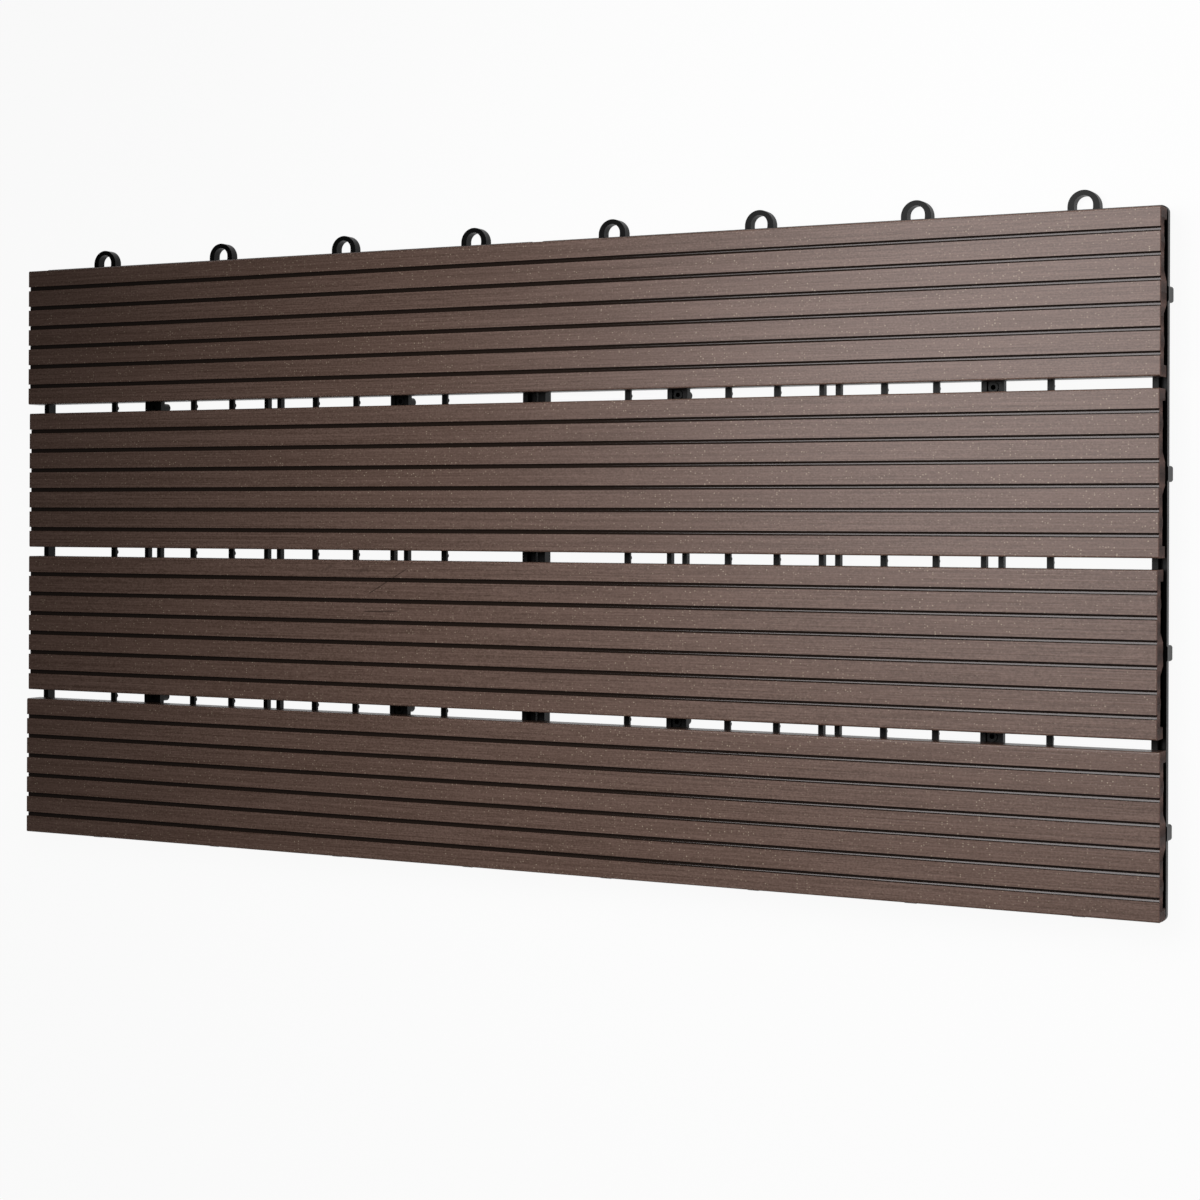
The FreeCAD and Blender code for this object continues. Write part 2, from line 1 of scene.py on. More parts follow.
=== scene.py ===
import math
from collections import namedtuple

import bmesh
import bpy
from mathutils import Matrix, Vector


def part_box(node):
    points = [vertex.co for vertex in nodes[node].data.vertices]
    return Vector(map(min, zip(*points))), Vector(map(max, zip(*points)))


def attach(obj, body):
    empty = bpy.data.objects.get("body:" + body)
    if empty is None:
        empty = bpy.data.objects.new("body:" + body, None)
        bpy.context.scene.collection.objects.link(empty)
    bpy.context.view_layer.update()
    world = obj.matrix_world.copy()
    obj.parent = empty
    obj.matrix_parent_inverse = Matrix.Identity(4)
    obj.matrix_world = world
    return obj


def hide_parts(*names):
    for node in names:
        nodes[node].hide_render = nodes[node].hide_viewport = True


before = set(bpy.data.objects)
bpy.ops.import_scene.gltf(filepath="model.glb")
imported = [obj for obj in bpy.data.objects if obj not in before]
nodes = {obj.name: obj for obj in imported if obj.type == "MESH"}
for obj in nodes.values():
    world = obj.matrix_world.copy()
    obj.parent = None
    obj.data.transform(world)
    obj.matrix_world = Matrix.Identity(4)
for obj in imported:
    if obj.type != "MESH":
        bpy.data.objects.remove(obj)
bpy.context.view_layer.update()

# %% [markdown]
# # A deck tile on a white floor
#
# The packed solids are the whole tile: four grooved composite slats on two black moulded bases,
# with screws from below. This script leaves their shape alone. It gives each piece its surface,
# puts screws with a cross recess and a thread in place of the plain blanks, lays the tile on a
# white floor, and sets the lamps and the camera so that the picture matches the photo.
#
# Sizes are in metres, X runs along the slats, Y across them and Z up. The tile rests on Z = 0.

MM = 0.001
slat_names = ["slat_first", "slat_second", "slat_third", "slat_fourth"]
base_names = ["base_left", "base_right"]

slat_boxes = [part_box(name) for name in slat_names]
deck_height = max(box[1][2] for box in slat_boxes)
print("deck height", round(deck_height / MM, 2), "mm")

# %% [markdown]
# ## Arithmetic for materials
#
# A material is a small program that runs once for each point of a surface. Written node by node
# it is hard to read, so one class wraps a socket and lets Python's own operators add the nodes.
# `2 * lines + 0.1` then reads as the formula that it is. A comparison gives a mask, which is 1
# where it holds and 0 elsewhere, and `|` joins two masks.

# %% A socket that can be added, multiplied and compared
class Value:
    """A number, vector or colour in a shader tree. Arithmetic on it adds the nodes for it."""

    def __init__(self, tree, socket):
        self.tree = tree
        self.socket = socket

    def math(self, operation, other=None, swapped=False):
        node = self.tree.nodes.new("ShaderNodeMath")
        node.operation = operation
        ends = [self] if other is None else [self, other]
        if swapped:
            ends.reverse()
        for target, end in zip(node.inputs, ends):
            feed(self.tree, target, end)
        return Value(self.tree, node.outputs[0])

    def __add__(self, other):
        return self.math("ADD", other)

    def __radd__(self, other):
        return self.math("ADD", other, swapped=True)

    def __sub__(self, other):
        return self.math("SUBTRACT", other)

    def __rsub__(self, other):
        return self.math("SUBTRACT", other, swapped=True)

    def __mul__(self, other):
        return self.math("MULTIPLY", other)

    def __rmul__(self, other):
        return self.math("MULTIPLY", other, swapped=True)

    def __truediv__(self, other):
        return self.math("DIVIDE", other)

    def __rtruediv__(self, other):
        return self.math("DIVIDE", other, swapped=True)

    def __gt__(self, other):
        return self.math("GREATER_THAN", other)

    def __lt__(self, other):
        return self.math("LESS_THAN", other)

    def __or__(self, other):
        return self.math("MAXIMUM", other)

    def __abs__(self):
        return self.math("ABSOLUTE")

    def fraction(self):
        return self.math("FRACT")


def feed(tree, target, source):
    """Puts a Value or a plain constant into a socket."""
    if isinstance(source, Value):
        tree.links.new(source.socket, target)
    else:
        target.default_value = source


print("a Value has", sum(callable(method) for method in vars(Value).values()), "methods")

# %% [markdown]
# Any other node goes through one method, `add`: its type, its settings and its sockets by name.
# The rest are short names for what every material here needs: a noise in stretched cells, a
# smooth step, a blend of two colours and a bump of a known depth.

# %% A material under construction
NO_SHIFT = (0, 0, 0)


def socket_named(sockets, name):
    """The socket of that name that the node's settings leave in use."""
    return [socket for socket in sockets if socket.enabled and socket.name == name][0]


class Added:
    """A node just added, with its outputs as values."""

    def __init__(self, tree, node):
        self.tree = tree
        self.node = node

    def out(self, name):
        return Value(self.tree, socket_named(self.node.outputs, name))


class Surface:
    """A new material with its node tree and the object's own coordinates."""

    def __init__(self, name):
        self.material = bpy.data.materials.new(name)
        self.material.use_nodes = True
        self.tree = self.material.node_tree
        self.shader = self.tree.nodes["Principled BSDF"]
        self.place = self.add("ShaderNodeTexCoord").out("Object")

    def fill(self, node, sockets):
        for key, value in sockets.items():
            feed(self.tree, socket_named(node.inputs, key.replace("_", " ")), value)

    def add(self, kind, settings=None, **sockets):
        node = self.tree.nodes.new(kind)
        for key, value in (settings or {}).items():
            setattr(node, key, value)
        self.fill(node, sockets)
        return Added(self.tree, node)

    def axes(self):
        split = self.add("ShaderNodeSeparateXYZ", Vector=self.place)
        return split.out("X"), split.out("Y"), split.out("Z")

    def pattern(self, cells, shift=NO_SHIFT):
        """Coordinates in pattern cells: so many to the metre along X, Y and Z."""
        node = self.add("ShaderNodeMapping", Vector=self.place, Scale=cells, Location=shift)
        return node.out("Vector")

    def noise(self, cells, shift=NO_SHIFT, detail=2.0, roughness=0.5):
        node = self.add("ShaderNodeTexNoise", Vector=self.pattern(cells, shift), Scale=1.0,
                        Detail=detail, Roughness=roughness)
        return node.out("Fac")

    def step(self, value, start, end):
        """Runs smoothly from 0 where the value is at start to 1 where it is at end."""
        node = self.add("ShaderNodeMapRange", {"interpolation_type": "SMOOTHSTEP"}, Value=value,
                        From_Min=start, From_Max=end)
        return node.out("Result")

    def blend(self, factor, first, second):
        """A colour between two others."""
        node = self.add("ShaderNodeMix", {"data_type": "RGBA"}, Factor=factor, A=first, B=second)
        return node.out("Result")

    def relief(self, height, depth, strength=1.0):
        """A bump as deep as the height times the given depth."""
        node = self.add("ShaderNodeBump", Height=height, Distance=depth, Strength=strength)
        return node.out("Normal")

    def finish(self, **sockets):
        self.fill(self.shader, sockets)
        return self.material


def colour(red, green, blue):
    return (red, green, blue, 1.0)


def dress(name, material):
    """Gives a packed piece its material in place of the plain one."""
    nodes[name].data.materials.clear()
    nodes[name].data.materials.append(material)


print("short names of a Surface:", [name for name in vars(Surface) if not name.startswith("_")])

# %% [markdown]
# ## The slats
#
# Extruded wood-plastic composite leaves the die with a dark, smooth skin. The walking face is then
# brushed along its length, which bares the paler body of the material. The brush doesn't reach
# into the grooves, so they stay dark. A picture could be wrapped round each slat, but it would
# repeat and blur close up, so the finish is worked out from the place of each point instead.
# Where the grooves lie is read from the packed mesh.

# %% The grooves as packed
GROOVE_DEPTH = 1.3 * MM
SAME_LEVEL = 0.01 * MM
TO_MICROMETRES = 6

groove_floor = deck_height - GROOVE_DEPTH
floor_edges = sorted({round(v.co.y, TO_MICROMETRES) for v in nodes[slat_names[0]].data.vertices
                      if abs(v.co.z - groove_floor) < SAME_LEVEL})
groove_width = floor_edges[1] - floor_edges[0]
groove_pitch = floor_edges[2] - floor_edges[0]
groove_count = len(floor_edges) // 2
print(groove_count, "grooves", round(groove_width / MM, 2), "mm wide, pitch",
      round(groove_pitch / MM, 2), "mm")

# %% [markdown]
# ### The brushed face
#
# The brush leaves fine lines a few tenths of a millimetre apart, shorter scratches between them, a
# grain that is rough both ways, and slow clouds where it pressed less. Each one is a noise in
# cells of its own size, drawn out along the slat. Together they choose a brown between a dark and
# a pale one.

# %% Lines, scratches, grain and clouds
BROWN = colour(0.146, 0.086, 0.065)
BROWN_DARK = colour(0.080, 0.044, 0.030)
BROWN_PALE = colour(0.216, 0.137, 0.110)
LINE_CELLS = (11, 1500, 1500)
SCRATCH_CELLS = (90, 3200, 3200)
GRAIN_CELLS = (900, 1300, 1300)
CLOUD_CELLS = (14, 40, 40)
LINE_SHARE = 0.35
SCRATCH_SHARE = 0.25
GRAIN_SHARE = 0.4
STREAK_RANGE = (0.34, 0.66)
CLOUD_RANGE = (0.3, 0.7)
CLOUD_SHARE = 0.35


def brushing(surface, shift):
    """The noises of one face: lines, scratches, clouds, and the streaks that show as colour."""
    lines = surface.noise(LINE_CELLS, shift, detail=3.0, roughness=0.6)
    scratches = surface.noise(SCRATCH_CELLS, shift, detail=2.0, roughness=0.6)
    clouds = surface.noise(CLOUD_CELLS, shift, detail=3.0, roughness=0.55)
    grain = surface.noise(GRAIN_CELLS, shift, detail=2.0, roughness=0.7)
    mixed = LINE_SHARE * lines + SCRATCH_SHARE * scratches + GRAIN_SHARE * grain
    return lines, scratches, clouds, surface.step(mixed, *STREAK_RANGE)


def brown_of(surface, streaks, clouds):
    brown = surface.blend(streaks, BROWN_DARK, BROWN_PALE)
    return surface.blend(CLOUD_SHARE * surface.step(clouds, *CLOUD_RANGE), brown, BROWN)


print("lines about", round(1 / MM / LINE_CELLS[1], 2), "mm apart, scratches about",
      round(1 / MM / SCRATCH_CELLS[1], 2), "mm")

# %% [markdown]
# ### Crumbs of wood flour
#
# Here and there the brush bares a pale crumb of wood. A Voronoi texture scatters one point in each
# of its cells and gives every cell a random colour. One channel of that colour draws the lots, so
# only a few cells show their crumb, and the clouds gather those into patches.

# %% Crumbs
CRUMB = colour(0.46, 0.365, 0.275)
CRUMB_CELLS = (850, 1000, 1000)
CRUMB_CHANCE = (0.66, 0.98)
CRUMB_PATCHES = (0.25, 0.65)
CRUMB_RIM = (0.38, 0.12)


def with_crumbs(surface, brown, clouds, shift):
    cells = surface.add("ShaderNodeTexVoronoi", Vector=surface.pattern(CRUMB_CELLS, shift),
                        Scale=1.0)
    lot = surface.add("ShaderNodeSeparateColor", Color=cells.out("Color")).out("Red")
    pale = surface.step(lot, *CRUMB_CHANCE) * surface.step(clouds, *CRUMB_PATCHES)
    return surface.blend(pale * surface.step(cells.out("Distance"), *CRUMB_RIM), brown, CRUMB)


print("crumbs up to", round(2 * CRUMB_RIM[0] / MM / CRUMB_CELLS[1], 2), "mm wide")

# %% [markdown]
# ### Marks of use
#
# The third slat has two thin dark scuffs and two faint stains. A mark is a straight line between
# two points. How far a point lies along it and beside it are two short sums, and the clouds make
# its edge a little uneven.

# %% Scuffs and stains
SCUFF = colour(0.035, 0.018, 0.012)
SCUFF_EDGE = (1.1, 0.4)
SCUFF_FADE_IN = (0.0, 0.15)
SCUFF_FADE_OUT = (1.0, 0.8)
SCUFF_UNEVEN = 0.8

Mark = namedtuple("Mark", "start end half_width darkness")
MARKS = {"slat_third": [
    Mark((-87.4 * MM, -19.6 * MM), (-61.0 * MM, -4.6 * MM), 0.35 * MM, 0.75),
    Mark((-89.7 * MM, -27.4 * MM), (-67.0 * MM, -26.8 * MM), 0.45 * MM, 0.75),
    Mark((-111.4 * MM, -7.5 * MM), (-106.7 * MM, -5.0 * MM), 1.2 * MM, 0.35),
    Mark((-94.0 * MM, -8.5 * MM), (-85.0 * MM, -6.0 * MM), 1.5 * MM, 0.3)]}


def mark_mask(surface, mark, clouds, along, across):
    """1 on the mark, a little uneven, and 0 away from it."""
    run = (Vector(mark.end) - Vector(mark.start)).normalized()
    length = (Vector(mark.end) - Vector(mark.start)).length
    on_x, on_y = along - mark.start[0], across - mark.start[1]
    travelled = (on_x * run.x + on_y * run.y) / length
    away = abs(on_y * run.x - on_x * run.y) / mark.half_width
    fade = surface.step(travelled, *SCUFF_FADE_IN) * surface.step(travelled, *SCUFF_FADE_OUT)
    return fade * surface.step(away + SCUFF_UNEVEN * abs(clouds - 0.5), *SCUFF_EDGE)


def with_marks(surface, brown, marks, clouds, along, across):
    for mark in marks:
        mask = mark_mask(surface, mark, clouds, along, across)
        brown = surface.blend(mark.darkness * mask, brown, SCUFF)
    return brown


print(sum(len(marks) for marks in MARKS.values()), "marks")

# %% [markdown]
# ### Skin and sawn ends
#
# Below the reach of the brush the skin stays. In the grooves it is glossy and painted nearly black:
# the skin's own dark brown with the shade of the groove painted in. The floor of each groove is
# slightly hollow, so it gathers the lamp into a thin bright line. That hollow is about a third of a
# millimetre deep, so it is drawn as a bump. The sides and the underside keep a duller skin, and the
# sawn ends are rougher and redder.

# %% Masks for skin, sides and ends
# The groove skin is painted shade: nearly black, darker than the same skin's dark brown on the
# sides.
GROOVE_SKIN_WITH_PAINTED_SHADE = colour(0.018, 0.011, 0.008)
SIDE_SKIN = colour(0.052, 0.030, 0.022)
SAWN = colour(0.17, 0.088, 0.066)
SAWN_DARK = colour(0.09, 0.043, 0.032)
BRUSH_REACH = 0.5 * MM
SIDE_DEPTH = 0.3 * MM
SAW_DEPTH = 0.15 * MM
HOLLOW_RADIUS = 1.5 * MM
PORE_CELLS = (900, 900, 900)
PORE_RANGE = (0.35, 0.65)


def skin_masks(box, across, up):
    """Where the brush doesn't reach, and where that is a side or the underside."""
    middle = (box[0][1] + box[1][1]) / 2
    half_width = 0.5 * (box[1][1] - box[0][1])
    skin = (deck_height - BRUSH_REACH) > up
    side = abs(across - middle) > half_width - SIDE_DEPTH
    return skin, side | ((groove_floor - SIDE_DEPTH) > up)


def sawn_mask(box, along):
    middle = (box[0][0] + box[1][0]) / 2
    half_length = 0.5 * (box[1][0] - box[0][0])
    return abs(along - middle) > half_length - SAW_DEPTH


def groove_hollow(box, across, up):
    """The height of a groove's round floor, in metres, above its lowest line."""
    first_cell = (box[0][1] + box[1][1]) / 2 - 0.5 * groove_count * groove_pitch
    off_centre = ((across - first_cell) / groove_pitch).fraction() - 0.5
    in_groove = (groove_floor + SAME_LEVEL) > up
    return in_groove * off_centre * off_centre * (groove_pitch ** 2 / (2 * HOLLOW_RADIUS))


print("hollow of a groove", round(groove_width ** 2 / 8 / HOLLOW_RADIUS / MM, 2), "mm deep")

# %% [markdown]
# ### One material for each slat
#
# The pieces above come together in one material. Each slat has its own stretch of the pattern, so
# that no two are alike.

# %% The composite
ROUGH_BRUSHED = 0.42
ROUGH_SKIN = 0.15
ROUGH_SIDE = 0.38
ROUGHER_SAWN = 0.4
BRUSH_RELIEF = 0.07 * MM
SAW_RELIEF = 0.05 * MM
DEEP_LINES = 0.6
DEEP_SCRATCHES = 0.4
WARM_GLOSS = colour(1.0, 0.95, 0.96)
PATTERN_STEP = (3.1, 7.7, 5.3)


def composite(name, seed, box):
    surface = Surface("composite_" + name)
    along, across, up = surface.axes()
    shift = tuple(step * seed for step in PATTERN_STEP)
    lines, scratches, clouds, streaks = brushing(surface, shift)
    brown = with_crumbs(surface, brown_of(surface, streaks, clouds), clouds, shift)
    brown = with_marks(surface, brown, MARKS.get(name, []), clouds, along, across)

    skin, side = skin_masks(box, across, up)
    # Grooves get the nearly black skin with painted shade, sides and underside the plain side skin.
    brown = surface.blend(skin, brown, surface.blend(side, GROOVE_SKIN_WITH_PAINTED_SHADE, SIDE_SKIN))
    sawn = sawn_mask(box, along)
    pores = surface.noise(PORE_CELLS, shift, detail=4.0, roughness=0.65)
    sawn_colour = surface.blend(surface.step(pores, *PORE_RANGE), SAWN_DARK, SAWN)

    smooth = skin * (1.0 - sawn)
    brushed = (DEEP_LINES * lines + DEEP_SCRATCHES * scratches) * (1.0 - smooth) * BRUSH_RELIEF
    height = brushed + pores * sawn * SAW_RELIEF + groove_hollow(box, across, up)
    return surface.finish(
        Base_Color=surface.blend(sawn, brown, sawn_colour),
        Roughness=(ROUGH_BRUSHED - (ROUGH_BRUSHED - ROUGH_SKIN) * smooth
                   + (ROUGH_SIDE - ROUGH_SKIN) * smooth * side + ROUGHER_SAWN * sawn),
        Specular_Tint=WARM_GLOSS,
        Normal=surface.relief(height, depth=1.0))


for seed, (name, box) in enumerate(zip(slat_names, slat_boxes), start=1):
    dress(name, composite(name, seed, box))
print("composite on", len(slat_names), "slats")

# %% [markdown]
# ## The bases
#
# Each base is one moulding of black polypropylene: almost no colour of its own, a fine grain from
# the mould, and a soft gloss that turns grey where it mirrors something bright. A black of even
# gloss would look like a drawing, so slow clouds change both a little.

# %% Moulded plastic
PLASTIC = colour(0.004, 0.004, 0.004)
PLASTIC_WORN = colour(0.008, 0.008, 0.008)
WEAR_CELLS = (60, 60, 60)
WEAR_RANGE = (0.35, 0.7)
MOULD_CELLS = (1500, 1500, 1500)
MOULD_RELIEF = 0.06 * MM
MOULD_STRENGTH = 0.6
PLASTIC_ROUGH = 0.30
PLASTIC_ROUGHER = 0.14
PLASTIC_GLOSS = 0.11

surface = Surface("moulded_plastic")
worn = surface.noise(WEAR_CELLS, detail=3.0)
mould_grain = surface.noise(MOULD_CELLS, detail=2.0)
plastic = surface.finish(
    Base_Color=surface.blend(surface.step(worn, *WEAR_RANGE), PLASTIC, PLASTIC_WORN),
    Roughness=PLASTIC_ROUGH + PLASTIC_ROUGHER * worn,
    Specular_IOR_Level=PLASTIC_GLOSS,
    Normal=surface.relief(mould_grain, MOULD_RELIEF, MOULD_STRENGTH))
for name in base_names:
    dress(name, plastic)
print("plastic on", len(base_names), "bases")

# %% [markdown]
# ## The screws
#
# Sixteen equal screws hold the slats from below. Each could be modelled in its place, but one is
# enough: it is built once in mesh code, and Geometry Nodes set it on every seat. The seats are
# read from the packed blanks. Their mesh is loose triangles, so corners in one place are joined
# first, and the corners that hang together are then one blank.

# %% Where the blanks sit
SAME_PLACE = 0.01 * MM

blanks = nodes["screws"].data
vertices = [Vector(v.co) for v in blanks.vertices]
neighbours = {index: index for index in range(len(vertices))}


def root_of(index):
    """The corner that stands for all the corners joined to this one so far."""
    while neighbours[index] != index:
        neighbours[index] = neighbours[neighbours[index]]
        index = neighbours[index]
    return index


first_at = {}
for index, point in enumerate(vertices):
    place = tuple(round(c / SAME_PLACE) for c in point)
    neighbours[index] = first_at.setdefault(place, index)
for edge in blanks.edges:
    one, other = root_of(edge.vertices[0]), root_of(edge.vertices[1])
    neighbours[one] = other
groups = {}
for index, point in enumerate(vertices):
    groups.setdefault(root_of(index), []).append(point)

seats = []
for points in groups.values():
    low = Vector([min(p[i] for p in points) for i in range(3)])
    high = Vector([max(p[i] for p in points) for i in range(3)])
    middle = (low + high) / 2
    seats.append(Vector((middle.x, middle.y, low.z)))
head_radius = (high - low).x / 2
blank_length = (high - low).z
print(len(seats), "screws, head radius", round(head_radius / MM, 2), "mm, length",
      round(blank_length / MM, 2), "mm")

# %% [markdown]
# The head is turned like a real one: a profile is swept round Z, and a Boolean cuts the cross
# recess out of the dome. The shank isn't turned, because its thread climbs. Its wall is a grid
# whose radius depends on the height and on the turn together.

# %% A profile turned about Z, and a wall with a thread
CREST = 2.0 * MM
CORE = 1.35 * MM
LEAD = 1.4 * MM
POINT = 2.6 * MM
ROWS_PER_TURN = 6
RIDGE_SLOPE = 3.2
TIP = 0.12


def on_circle(mesh, radius, turn, height):
    return mesh.verts.new((radius * math.cos(2 * math.pi * turn),
                           radius * math.sin(2 * math.pi * turn), height))


def lathe(mesh, profile, sides):
    """Turns (radius, height) points about Z. A first or last radius of 0 closes the end."""
    rings = []
    for radius, height in profile:
        if radius == 0:
            rings.append([mesh.verts.new((0, 0, height))])
        else:
            rings.append([on_circle(mesh, radius, k / sides, height) for k in range(sides)])
    for lower, upper in zip(rings, rings[1:]):
        for k in range(sides):
            corners = [lower[k % len(lower)], lower[(k + 1) % len(lower)],
                       upper[(k + 1) % len(upper)], upper[k % len(upper)]]
            mesh.faces.new(list(dict.fromkeys(corners)))


def thread(mesh, start, end, sides):
    """A closed shank whose wall rises and falls once for each turn of the helix."""
    rows = int((end - start) / LEAD * ROWS_PER_TURN)
    rings = []
    for row in range(rows + 1):
        height = start + (end - start) * row / rows
        thickness = TIP + (1 - TIP) * min(1.0, (end - height) / POINT)
        ring = []
        for k in range(sides):
            turn = k / sides
            phase = ((height - start) / LEAD - turn) % 1.0
            ridge = max(0.0, 1.0 - RIDGE_SLOPE * abs(phase - 0.5))
            radius = (CORE + (CREST - CORE) * ridge) * thickness
            ring.append(on_circle(mesh, radius, turn, height))
        rings.append(ring)
    for lower, upper in zip(rings, rings[1:]):
        for k in range(sides):
            mesh.faces.new([lower[k], lower[(k + 1) % sides], upper[(k + 1) % sides], upper[k]])
    mesh.faces.new(list(reversed(rings[0])))
    mesh.faces.new(rings[-1])


print("thread of", round((CREST - CORE) / MM, 2), "mm on a core of radius", CORE / MM, "mm")

# %% Head, recess and shank
HEAD_HEIGHT = 2.3 * MM
RECESS_ARM = 1.9 * MM
RECESS_WIDTH = 0.75 * MM
RECESS_DEPTH = 1.3 * MM
SHANK_OVERLAP = 0.2 * MM
SIDES = 24
DOME = [(0, 0), (1.1 * MM, 0.06 * MM), (2.1 * MM, 0.32 * MM), (2.9 * MM, 0.85 * MM)]
RIM = [(head_radius - 0.1 * MM, 1.45 * MM), (head_radius, 1.6 * MM), (head_radius, HEAD_HEIGHT)]
NECK = [(CORE, HEAD_HEIGHT), (0, HEAD_HEIGHT)]


def new_object(name, mesh):
    data = bpy.data.meshes.new(name)
    mesh.to_mesh(data)
    mesh.free()
    made = bpy.data.objects.new(name, data)
    bpy.context.scene.collection.objects.link(made)
    return made


head = bmesh.new()
lathe(head, DOME + RIM + NECK, SIDES)
bmesh.ops.recalc_face_normals(head, faces=head.faces)
head = new_object("screw_head", head)

cross = bmesh.new()
for arm in ((RECESS_ARM, RECESS_WIDTH / 2), (RECESS_WIDTH / 2, RECESS_ARM)):
    bmesh.ops.create_cube(cross, size=2.0, matrix=Matrix.LocRotScale(
        Vector((0, 0, 0)), None, Vector((arm[0], arm[1], RECESS_DEPTH))))
cross = new_object("cross_recess", cross)

shank = bmesh.new()
thread(shank, HEAD_HEIGHT - SHANK_OVERLAP, blank_length, SIDES)
bmesh.ops.recalc_face_normals(shank, faces=shank.faces)
shank = new_object("screw_shank", shank)
print("head", len(head.data.polygons), "faces, shank", len(shank.data.polygons), "faces")

# %% [markdown]
# The cutter is two blocks that cross, so the Boolean is told that it may meet itself. An object's
# evaluated form is what its modifiers make of it, and a copy of that is a plain mesh.

# %% One screw
def evaluated_copy(source, name):
    """The object as its modifiers leave it, as a plain mesh."""
    depsgraph = bpy.context.evaluated_depsgraph_get()
    data = bpy.data.meshes.new_from_object(source.evaluated_get(depsgraph))
    data.name = name
    return data


recess = head.modifiers.new("recess", "BOOLEAN")
recess.operation = "DIFFERENCE"
recess.use_self = True
recess.object = cross
cut_head = evaluated_copy(head, "screw_head_cut")

joined = bmesh.new()
joined.from_mesh(cut_head)
joined.from_mesh(shank.data)
one_screw = new_object("one_screw", joined)
for helper in (head, cross, shank):
    bpy.data.objects.remove(helper)
print("one screw has", len(one_screw.data.polygons), "faces")

# %% [markdown]
# The steel is plain and zinc-plated. A metal has no colour but that of its reflections, so the
# base colour is the metal's own, and a fine noise keeps the gloss uneven.

# %% The steel
STEEL = colour(0.55, 0.54, 0.50)
STEEL_CELLS = (900, 900, 900)
STEEL_ROUGH = 0.28
STEEL_ROUGHER = 0.2

surface = Surface("screw_steel")
wear = surface.noise(STEEL_CELLS, detail=3.0)
steel = surface.finish(Base_Color=STEEL, Metallic=1.0, Roughness=STEEL_ROUGH + STEEL_ROUGHER * wear)
print("steel roughness", STEEL_ROUGH, "to", round(STEEL_ROUGH + STEEL_ROUGHER, 2))

# %% [markdown]
# The node tree takes a mesh of single points and puts the screw on each one. It turns every screw
# by its own random angle, because no two stop at the same one, then makes the copies real and
# gives them the steel.

# %% The tree that sets the screws
tree = bpy.data.node_groups.new("set_screws", "GeometryNodeTree")
for name, kind in (("Seats", "Geometry"), ("Screw", "Object"), ("Seed", "Int"),
                   ("Steel", "Material")):
    tree.interface.new_socket(name, in_out="INPUT", socket_type="NodeSocket" + kind)
tree.interface.new_socket("Screws", in_out="OUTPUT", socket_type="NodeSocketGeometry")
inputs = tree.nodes.new("NodeGroupInput")
outputs = tree.nodes.new("NodeGroupOutput")
to_points = tree.nodes.new("GeometryNodeMeshToPoints")
info = tree.nodes.new("GeometryNodeObjectInfo")
angle = tree.nodes.new("FunctionNodeRandomValue")
angle.inputs["Max"].default_value = 2 * math.pi
turned = tree.nodes.new("ShaderNodeCombineXYZ")
instances = tree.nodes.new("GeometryNodeInstanceOnPoints")
real = tree.nodes.new("GeometryNodeRealizeInstances")
paint = tree.nodes.new("GeometryNodeSetMaterial")
for source, target in (
        (inputs.outputs["Seats"], to_points.inputs["Mesh"]),
        (inputs.outputs["Screw"], info.inputs["Object"]),
        (inputs.outputs["Seed"], angle.inputs["Seed"]),
        (socket_named(angle.outputs, "Value"), turned.inputs["Z"]),
        (to_points.outputs["Points"], instances.inputs["Points"]),
        (info.outputs["Geometry"], instances.inputs["Instance"]),
        (turned.outputs["Vector"], instances.inputs["Rotation"]),
        (instances.outputs["Instances"], real.inputs["Geometry"]),
        (real.outputs["Geometry"], paint.inputs["Geometry"]),
        (inputs.outputs["Steel"], paint.inputs["Material"]),
        (paint.outputs["Geometry"], outputs.inputs["Screws"])):
    tree.links.new(source, target)
print(tree.name, "has", len(tree.nodes), "nodes")

# %% [markdown]
# A modifier knows its inputs by identifiers and not by the names that the tree shows, and they
# are set before the object is first evaluated. The result is kept as a plain mesh, because the
# export drops instances, and it takes the place of the blanks.

# %% Screws on their seats
SEED = 7

seat_mesh = bpy.data.meshes.new("screw_seats")
seat_mesh.from_pydata([tuple(seat) for seat in seats], [], [])
screw_set = bpy.data.objects.new("fixing_screws", seat_mesh)
bpy.context.scene.collection.objects.link(screw_set)

modifier = screw_set.modifiers.new("set_screws", "NODES")
modifier.node_group = tree
values = {"Screw": one_screw, "Seed": SEED, "Steel": steel}
for socket in tree.interface.items_tree:
    if socket.name in values:
        modifier[socket.identifier] = values[socket.name]
finished = evaluated_copy(screw_set, "fixing_screws")
screw_set.modifiers.remove(modifier)
screw_set.data = finished
bpy.data.objects.remove(one_screw)
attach(screw_set, "root")
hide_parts("screws")
print(len(seats), "screws,", len(finished.polygons), "faces")

# %% [markdown]
# ## Floor and lamps
#
# The photo shows the tile on plain white. To make a floor white with light alone would wash out
# the tile, so the floor glows, but only to the camera and in reflections. For the light it is an
# ordinary white floor. A small part of that is mixed into what the camera sees, so the tile's
# soft shadow stays.

# %% The floor
FLOOR_REACH = 6.0
FLOOR_WHITE = colour(0.86, 0.86, 0.86)
FLOOR_ROUGH = 0.9
FLOOR_GLOW = 0.94
GLOW_WHITE = colour(1, 1, 1)

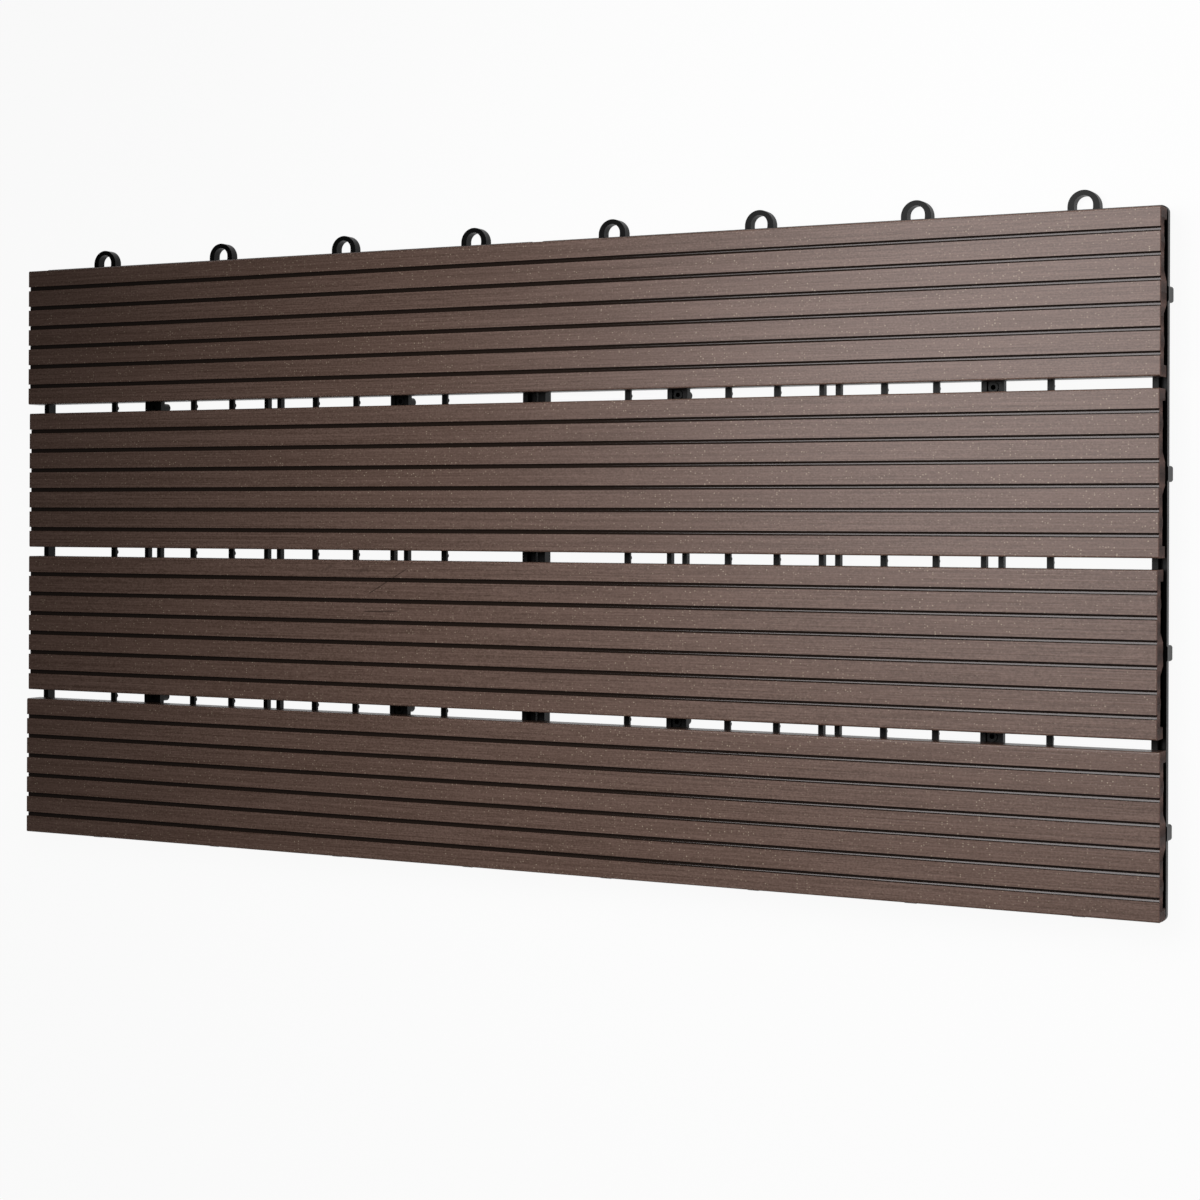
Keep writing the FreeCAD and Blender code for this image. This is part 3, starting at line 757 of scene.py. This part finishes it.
bpy.ops.mesh.primitive_plane_add(size=2 * FLOOR_REACH, location=(0, 0, 0))
floor = bpy.context.object
floor.name = "floor"
surface = Surface("white_floor")
surface.finish(Base_Color=FLOOR_WHITE, Roughness=FLOOR_ROUGH)
rays = surface.add("ShaderNodeLightPath")
shown = rays.out("Is Camera Ray") | rays.out("Is Glossy Ray") | rays.out("Is Transmission Ray")
glow = surface.add("ShaderNodeEmission", Color=GLOW_WHITE, Strength=1.0)
mixed = surface.add("ShaderNodeMixShader", Fac=FLOOR_GLOW * shown)
surface.tree.links.new(surface.shader.outputs[0], mixed.node.inputs[1])
surface.tree.links.new(glow.node.outputs[0], mixed.node.inputs[2])
output = surface.tree.nodes["Material Output"]
surface.tree.links.new(mixed.node.outputs[0], output.inputs["Surface"])
floor.data.materials.append(surface.material)
print("floor reaches", FLOOR_REACH, "m each way")

# %% [markdown]
# One large soft lamp hangs over the right half of the tile and is turned to the right and to the
# front. So the slats are darker at the left, and at the right they mirror the lamp in their
# grooves, as in the photo. A weak low one from the right shows the sawn ends, and a faint even
# light fills the rest.

# %% Sky and lamps
SKY_WHITE = colour(1, 1, 1)
SKY_STRENGTH = 0.05

world = bpy.data.worlds.new("studio")
bpy.context.scene.world = world
world.use_nodes = True
background = world.node_tree.nodes["Background"]
background.inputs["Color"].default_value = SKY_WHITE
background.inputs["Strength"].default_value = SKY_STRENGTH


def lamp(name, place, target, width, height, watts):
    data = bpy.data.lights.new(name, "AREA")
    data.shape = "RECTANGLE"
    data.size = width
    data.size_y = height
    data.energy = watts
    made = bpy.data.objects.new(name, data)
    made.location = place
    made.rotation_euler = (Vector(target) - Vector(place)).to_track_quat("-Z", "Y").to_euler()
    bpy.context.scene.collection.objects.link(made)
    print(name, watts, "W,", width, "by", height, "m")


lamp("softbox", place=(0.150, 0.187, 0.645), target=(0.786, -0.37, 0.022),
     width=0.55, height=0.56, watts=5.4)
lamp("side_fill", place=(1.20, 0.05, 0.16), target=(0.30, 0.0, 0.01),
     width=0.5, height=0.2, watts=1.1)

# %% [markdown]
# ## Camera
#
# The camera was found from the photo: it stands past the right end of the tile, a metre up, and
# looks down to the left, with the tile's length across the picture. The photo is a crop, so its
# axis meets it above the middle, and the frame is shifted down by as much. The axis row and the
# focal length are in the photo's own pixels.

# %% The camera
PHOTO_WIDTH = 1200
FOCAL_LENGTH = 2369.8
AXIS_ROW = 520.6
SENSOR_WIDTH = 36.0
CAMERA_PLACE = Vector((543.6 * MM, 17.2 * MM, 970.6 * MM + deck_height))
CAMERA_VIEW = Vector((-0.46007, 0.0, -0.88788)).normalized()
CAMERA_ROLL = math.radians(0.187)

camera_data = bpy.data.cameras.new("camera")
camera_data.sensor_width = SENSOR_WIDTH
camera_data.lens = FOCAL_LENGTH / PHOTO_WIDTH * SENSOR_WIDTH
camera_data.shift_y = (AXIS_ROW - PHOTO_WIDTH / 2) / PHOTO_WIDTH
camera = bpy.data.objects.new("camera", camera_data)
camera.location = CAMERA_PLACE
across_view = CAMERA_VIEW.cross(Vector((0, 1, 0))).normalized()
up_view = across_view.cross(CAMERA_VIEW).normalized()
turn = Matrix((across_view, up_view, -CAMERA_VIEW)).transposed()
camera.rotation_euler = (turn @ Matrix.Rotation(CAMERA_ROLL, 3, "Z")).to_euler()
bpy.context.scene.collection.objects.link(camera)
bpy.context.scene.camera = camera
bpy.context.scene.view_settings.view_transform = "Standard"
print("camera", round(CAMERA_PLACE.z, 3), "m up, lens", round(camera_data.lens, 1), "mm")

# %% [markdown]
